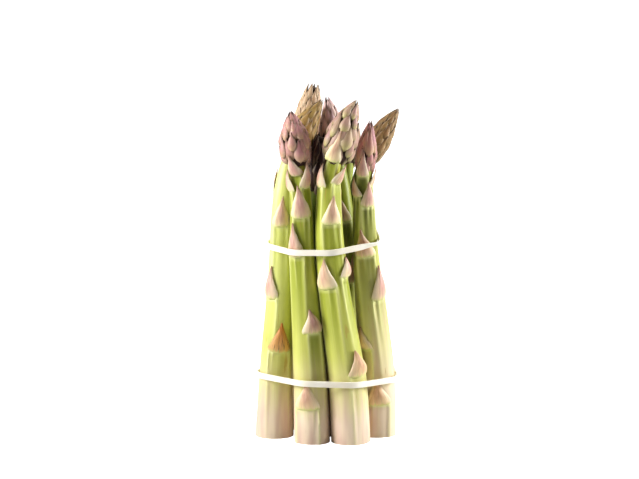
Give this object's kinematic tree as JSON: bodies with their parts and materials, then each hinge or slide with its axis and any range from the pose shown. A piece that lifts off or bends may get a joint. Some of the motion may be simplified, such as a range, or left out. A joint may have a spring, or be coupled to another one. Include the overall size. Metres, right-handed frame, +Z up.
{
  "type": "bundle of asparagus",
  "caption": "Upright bundle of fresh green asparagus spears with mauve tips, cut flat across the butts and held by two flat rubber bands.",
  "frame": {"origin": "on the surface that the cut butts stand on, below the middle of the bundle", "axes": "+Z up along the spears, from the butts to the tips; -Y is the bundle's front and +X its right as seen from the front"},
  "size_m": [0.0792, 0.0708, 0.189],
  "materials": {
    "stalk_skin": "waxy green plant skin, cream at the butt",
    "tip_scales": "packed mauve and tan scale leaves",
    "stalk_scales": "thin dry mauve scale leaves",
    "band_rubber": "cream rubber, matte"
  },
  "bodies": {
    "root": {"left_stalk": "stalk_skin", "left_tip": "tip_scales", "left_scale_1": "stalk_scales", "left_scale_2": "stalk_scales", "left_scale_3": "stalk_scales", "left_scale_4": "stalk_scales", "front_left_stalk": "stalk_skin", "front_left_tip": "tip_scales", "front_left_scale_1": "stalk_scales", "front_left_scale_2": "stalk_scales", "front_left_scale_3": "stalk_scales", "front_left_scale_4": "stalk_scales", "front_left_scale_5": "stalk_scales", "front_left_scale_6": "stalk_scales", "front_left_scale_7": "stalk_scales", "front_right_stalk": "stalk_skin", "front_right_tip": "tip_scales", "front_right_scale_1": "stalk_scales", "front_right_scale_2": "stalk_scales", "front_right_scale_3": "stalk_scales", "front_right_scale_4": "stalk_scales", "front_right_scale_5": "stalk_scales", "front_right_scale_6": "stalk_scales", "front_right_scale_7": "stalk_scales", "right_stalk": "stalk_skin", "right_tip": "tip_scales", "right_scale_1": "stalk_scales", "right_scale_2": "stalk_scales", "right_scale_3": "stalk_scales", "right_scale_4": "stalk_scales", "right_scale_5": "stalk_scales", "right_scale_6": "stalk_scales", "right_scale_7": "stalk_scales", "right_scale_8": "stalk_scales", "back_tall_stalk": "stalk_skin", "back_tall_tip": "tip_scales", "back_tall_scale_1": "stalk_scales", "back_tall_scale_2": "stalk_scales", "back_tall_scale_3": "stalk_scales", "back_middle_stalk": "stalk_skin", "back_middle_tip": "tip_scales", "back_middle_scale_1": "stalk_scales", "back_middle_scale_2": "stalk_scales", "back_middle_scale_3": "stalk_scales", "back_right_stalk": "stalk_skin", "back_right_tip": "tip_scales", "back_right_scale_1": "stalk_scales", "back_right_scale_2": "stalk_scales", "back_right_scale_3": "stalk_scales", "inner_stalk": "stalk_skin", "inner_tip": "tip_scales", "inner_scale_1": "stalk_scales", "inner_scale_2": "stalk_scales", "back_rear_stalk": "stalk_skin", "back_rear_tip": "tip_scales", "back_rear_scale_1": "stalk_scales", "back_rear_scale_2": "stalk_scales", "back_rear_scale_3": "stalk_scales", "lower_rubber_band": "band_rubber", "upper_rubber_band": "band_rubber"}
  },
  "joints": []
}
